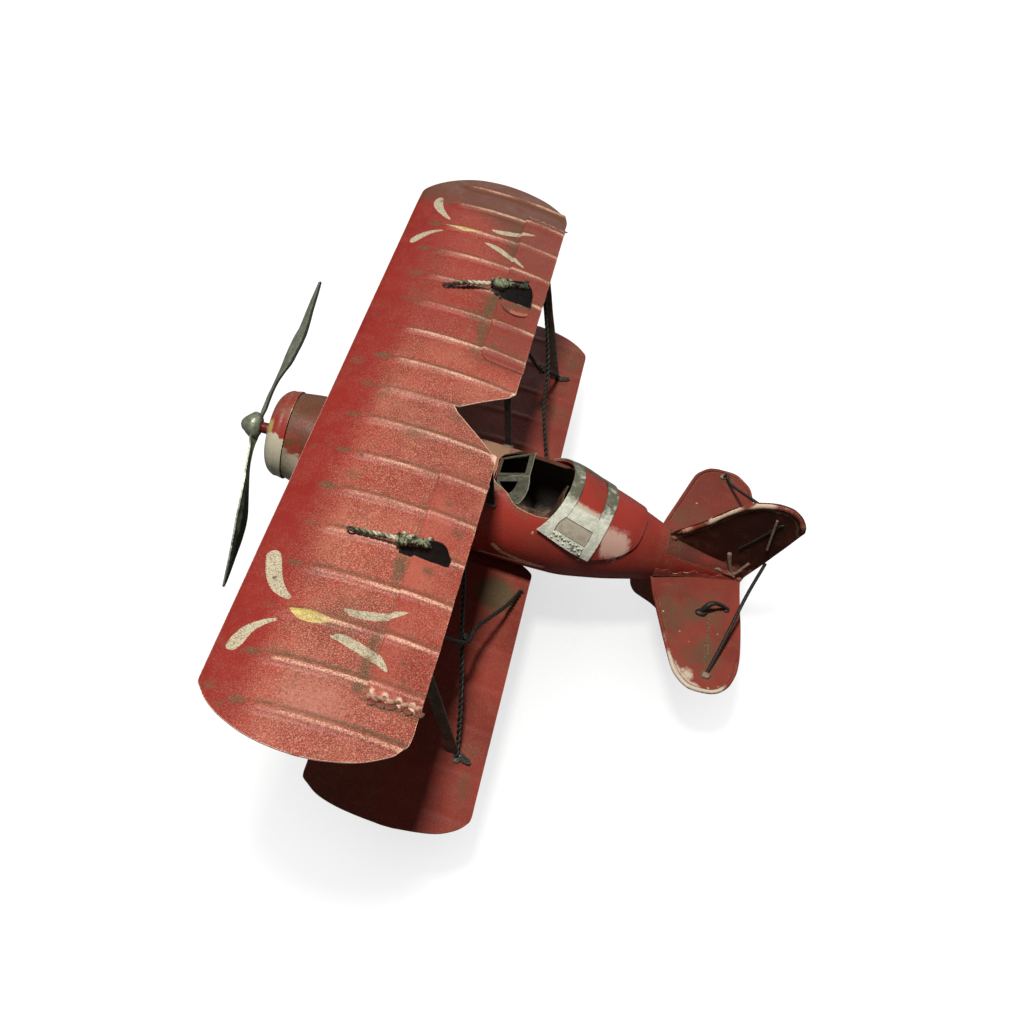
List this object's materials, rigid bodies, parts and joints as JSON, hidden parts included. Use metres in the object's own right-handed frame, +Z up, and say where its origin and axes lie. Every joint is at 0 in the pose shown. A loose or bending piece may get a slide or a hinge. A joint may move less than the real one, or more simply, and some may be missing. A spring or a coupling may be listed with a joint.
{
  "type": "toy airplane",
  "caption": "Hand-soldered tin-plate biplane display toy with ribbed wings, open cockpit, spinning propeller, free-rolling wheels and a tail skid.",
  "frame": {"origin": "middle of the ground rectangle under the model, on the surface it stands on, with both wheels and the tail skid touching", "axes": "+X forward towards the propeller, +Y to port along the wings, +Z up; the fuselage sits 9.4 degrees nose-up"},
  "size_m": [0.2786, 0.3998, 0.137],
  "materials": {
    "red_paint": "satin coral-red paint, worn to cream along ridges and edges",
    "cream_paint": "matt off-white paint, patinated grey-olive",
    "dark_iron": "dark oxidised iron wire and sheet, satin",
    "strut_steel": "tarnished grey-brown tin plate, satin",
    "olive_frame": "olive-grey paint with bright worn edges",
    "propeller_bronze": "grey-green tarnished stamped sheet, satin",
    "verdigris_metal": "verdigris over lumpy twisted wire, matt",
    "bush_brass": "plain turned brass, satin",
    "tyre_rubber": "aged black rubber, matt",
    "seat_rust": "bare rusted sheet, matt"
  },
  "bodies": {
    "airframe": {"upper_wing": "red_paint", "aileron_port": "red_paint", "aileron_starboard": "red_paint", "lower_wing": "red_paint", "fuselage_shell": "red_paint", "cowl_front": "red_paint", "prop_bush": "bush_brass", "cabane_strut_front_port": "dark_iron", "cabane_strut_front_starboard": "dark_iron", "cabane_strut_rear_port": "dark_iron", "cabane_strut_rear_starboard": "dark_iron", "interplane_strut_front_port": "strut_steel", "interplane_strut_front_starboard": "strut_steel", "interplane_strut_rear_port": "strut_steel", "interplane_strut_rear_starboard": "strut_steel", "brace_wire_port_straight": "dark_iron", "brace_wire_port_bowed": "dark_iron", "brace_wire_starboard_straight": "dark_iron", "brace_wire_starboard_bowed": "dark_iron", "gun_port_bracket": "dark_iron", "gun_port_receiver": "verdigris_metal", "gun_port_barrel": "verdigris_metal", "gun_starboard_bracket": "dark_iron", "gun_starboard_receiver": "verdigris_metal", "gun_starboard_barrel": "verdigris_metal", "cockpit_hood": "red_paint", "hood_band_front": "cream_paint", "hood_band_rear": "cream_paint", "hood_strip_lower_port": "cream_paint", "hood_strip_lower_starboard": "cream_paint", "hood_strip_middle_port": "cream_paint", "hood_strip_middle_starboard": "cream_paint", "windscreen": "olive_frame", "cockpit_seat": "seat_rust", "stabilizer_port": "red_paint", "stabilizer_starboard": "red_paint", "fin": "red_paint", "fin_brace_rod_port": "dark_iron", "fin_brace_rod_starboard": "dark_iron", "elevator_horn_port": "dark_iron", "elevator_horn_starboard": "dark_iron", "rudder_staple_lower": "strut_steel", "rudder_staple_upper": "strut_steel", "tail_skid": "red_paint", "gear_leg_port": "dark_iron", "gear_leg_starboard": "dark_iron", "axle": "dark_iron", "axle_cap_port": "dark_iron", "axle_cap_starboard": "dark_iron"},
    "propeller_unit": {"prop_shaft": "red_paint", "shaft_collar": "bush_brass", "propeller": "propeller_bronze", "prop_nut": "propeller_bronze"},
    "wheel_port": {"wheel_tyre_port": "tyre_rubber", "wheel_disc_port": "red_paint"},
    "wheel_starboard": {"wheel_tyre_starboard": "tyre_rubber", "wheel_disc_starboard": "red_paint"}
  },
  "joints": [
    {"name": "prop_spin", "type": "hinge", "parent": "airframe", "child": "propeller_unit", "pos_m": [0.13378, 0, 0.09714], "axis": [0.9866, 0, 0.1633], "continuous": true},
    {"name": "wheel_port_spin", "type": "hinge", "parent": "airframe", "child": "wheel_port", "pos_m": [0.08249, 0.045, 0.0175], "axis": [0, 1, 0], "continuous": true},
    {"name": "wheel_starboard_spin", "type": "hinge", "parent": "airframe", "child": "wheel_starboard", "pos_m": [0.08249, -0.045, 0.0175], "axis": [0, 1, 0], "continuous": true}
  ]
}
